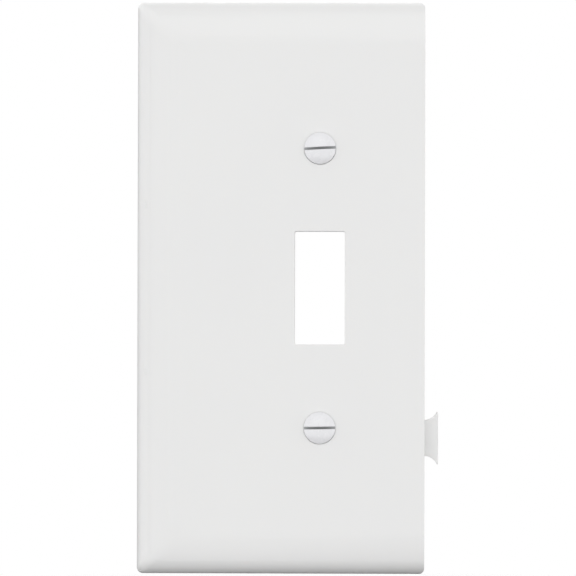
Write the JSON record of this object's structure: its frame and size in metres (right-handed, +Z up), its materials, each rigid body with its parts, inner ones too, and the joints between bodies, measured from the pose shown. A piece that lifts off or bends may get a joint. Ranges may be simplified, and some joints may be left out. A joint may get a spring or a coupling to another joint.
{
  "type": "wall plate",
  "caption": "End section of a sectional wall plate: rolled outer edges, a square joining edge with a fishtail tab and socket, a toggle opening and captive slotted screws.",
  "frame": {"origin": "on the wall plane, midway between the two screws, which is the middle of the toggle opening", "axes": "+X across the plate towards its square joining edge, +Y into the wall, +Z up; the front faces -Y"},
  "size_m": [0.0652, 0.0139, 0.1238],
  "materials": {
    "plate_plastic": "satin, fine moulded",
    "screw_enamel": "gloss enamel over zinc plate",
    "washer_nylon": "natural, translucent"
  },
  "bodies": {
    "face_plate": {"face_plate": "plate_plastic"},
    "upper_washer": {"upper_screw_washer": "washer_nylon"},
    "upper_screw": {"upper_screw": "screw_enamel"},
    "lower_washer": {"lower_screw_washer": "washer_nylon"},
    "lower_screw": {"lower_screw": "screw_enamel"}
  },
  "joints": [
    {"name": "upper_screw_travel", "type": "slide", "parent": "face_plate", "child": "upper_washer", "axis": [0, -1, 0], "range_m": [0, 0.0015]},
    {"name": "upper_screw_turn", "type": "hinge", "parent": "upper_washer", "child": "upper_screw", "pos_m": [0, 0, 0.03016], "axis": [0, -1, 0], "continuous": true},
    {"name": "lower_screw_travel", "type": "slide", "parent": "face_plate", "child": "lower_washer", "axis": [0, -1, 0], "range_m": [0, 0.0015]},
    {"name": "lower_screw_turn", "type": "hinge", "parent": "lower_washer", "child": "lower_screw", "pos_m": [0, 0, -0.03016], "axis": [0, -1, 0], "continuous": true}
  ]
}
